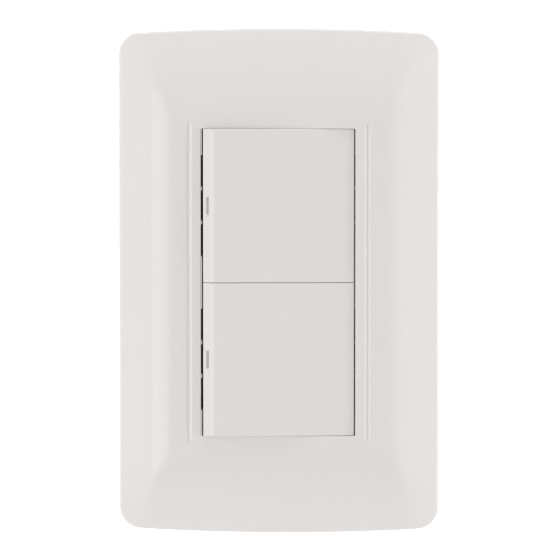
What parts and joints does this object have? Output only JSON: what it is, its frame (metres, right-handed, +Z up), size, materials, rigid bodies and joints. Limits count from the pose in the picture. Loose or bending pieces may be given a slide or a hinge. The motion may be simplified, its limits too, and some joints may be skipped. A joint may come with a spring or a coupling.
{
  "type": "rocker wall switch",
  "caption": "Wall switch with stacked full-width rocker paddles in a pillowed white cover plate, on a steel yoke with push-in switch modules behind.",
  "frame": {"origin": "middle of the plate's outline on the wall's surface", "axes": "+X to the right seen from the front, +Y into the wall, +Z up; metres"},
  "size_m": [0.076, 0.0358, 0.12],
  "materials": {
    "plate_white": "gloss",
    "paddle_white": "gloss",
    "frame_white": "satin",
    "indicator_grey": "gloss",
    "housing_black": "matte",
    "nylon": "satin",
    "release_grey": "matte",
    "zinc_steel": "zinc plated",
    "spring_steel": "bright",
    "brass": "satin",
    "silver": "satin"
  },
  "bodies": {
    "base": {"cover_plate": "plate_white", "grid_frame": "frame_white", "yoke": "zinc_steel", "upper_box_screw": "zinc_steel", "upper_frame_screw": "zinc_steel", "upper_housing_cover": "housing_black", "upper_housing_base": "housing_black", "upper_fixed_contact": "silver", "upper_load_terminal": "brass", "upper_common_terminal": "brass", "upper_load_lock_spring": "spring_steel", "upper_common_lock_spring": "spring_steel", "lower_box_screw": "zinc_steel", "lower_frame_screw": "zinc_steel", "lower_housing_cover": "housing_black", "lower_housing_base": "housing_black", "lower_fixed_contact": "silver", "lower_load_terminal": "brass", "lower_common_terminal": "brass", "lower_load_lock_spring": "spring_steel", "lower_common_lock_spring": "spring_steel"},
    "upper_rocker": {"upper_paddle": "paddle_white", "upper_indicator_bar": "indicator_grey"},
    "upper_fork": {"upper_actuator": "nylon", "upper_plunger": "nylon", "upper_plunger_spring": "spring_steel"},
    "upper_seesaw": {"upper_contact_arm": "brass", "upper_moving_contact": "silver"},
    "upper_load_release": {"upper_load_release_button": "release_grey"},
    "upper_common_release": {"upper_common_release_button": "release_grey"},
    "lower_rocker": {"lower_paddle": "paddle_white", "lower_indicator_bar": "indicator_grey"},
    "lower_fork": {"lower_actuator": "nylon", "lower_plunger": "nylon", "lower_plunger_spring": "spring_steel"},
    "lower_seesaw": {"lower_contact_arm": "brass", "lower_moving_contact": "silver"},
    "lower_load_release": {"lower_load_release_button": "release_grey"},
    "lower_common_release": {"lower_common_release_button": "release_grey"}
  },
  "joints": [
    {"name": "upper_rocker_tilt", "type": "hinge", "parent": "base", "child": "upper_rocker", "pos_m": [0, -0.00654, 0.01822], "axis": [0, 0, 1], "range_deg": [-8, 0]},
    {"name": "upper_fork_tilt", "type": "hinge", "parent": "base", "child": "upper_fork", "pos_m": [0, 0.0015, 0.01822], "axis": [0, 0, 1], "range_deg": [0, 18.8]},
    {"name": "upper_seesaw_tilt", "type": "hinge", "parent": "base", "child": "upper_seesaw", "pos_m": [0, 0.0113, 0.01822], "axis": [0, 0, 1], "range_deg": [-16, 0]},
    {"name": "upper_load_release_press", "type": "slide", "parent": "base", "child": "upper_load_release", "axis": [0, -1, 0], "range_m": [0, 0.0015], "stiffness_N_per_m": 800},
    {"name": "upper_common_release_press", "type": "slide", "parent": "base", "child": "upper_common_release", "axis": [0, -1, 0], "range_m": [0, 0.0015], "stiffness_N_per_m": 800},
    {"name": "lower_rocker_tilt", "type": "hinge", "parent": "base", "child": "lower_rocker", "pos_m": [0, -0.00654, -0.01822], "axis": [0, 0, 1], "range_deg": [-8, 0]},
    {"name": "lower_fork_tilt", "type": "hinge", "parent": "base", "child": "lower_fork", "pos_m": [0, 0.0015, -0.01822], "axis": [0, 0, 1], "range_deg": [0, 18.8]},
    {"name": "lower_seesaw_tilt", "type": "hinge", "parent": "base", "child": "lower_seesaw", "pos_m": [0, 0.0113, -0.01822], "axis": [0, 0, 1], "range_deg": [-16, 0]},
    {"name": "lower_load_release_press", "type": "slide", "parent": "base", "child": "lower_load_release", "axis": [0, -1, 0], "range_m": [0, 0.0015], "stiffness_N_per_m": 800},
    {"name": "lower_common_release_press", "type": "slide", "parent": "base", "child": "lower_common_release", "axis": [0, -1, 0], "range_m": [0, 0.0015], "stiffness_N_per_m": 800}
  ],
  "couplings": [
    {"joint": "upper_fork_tilt", "follows": "upper_rocker_tilt", "ratio": -2.35},
    {"joint": "upper_seesaw_tilt", "follows": "upper_rocker_tilt", "ratio": 2},
    {"joint": "lower_fork_tilt", "follows": "lower_rocker_tilt", "ratio": -2.35},
    {"joint": "lower_seesaw_tilt", "follows": "lower_rocker_tilt", "ratio": 2}
  ]
}
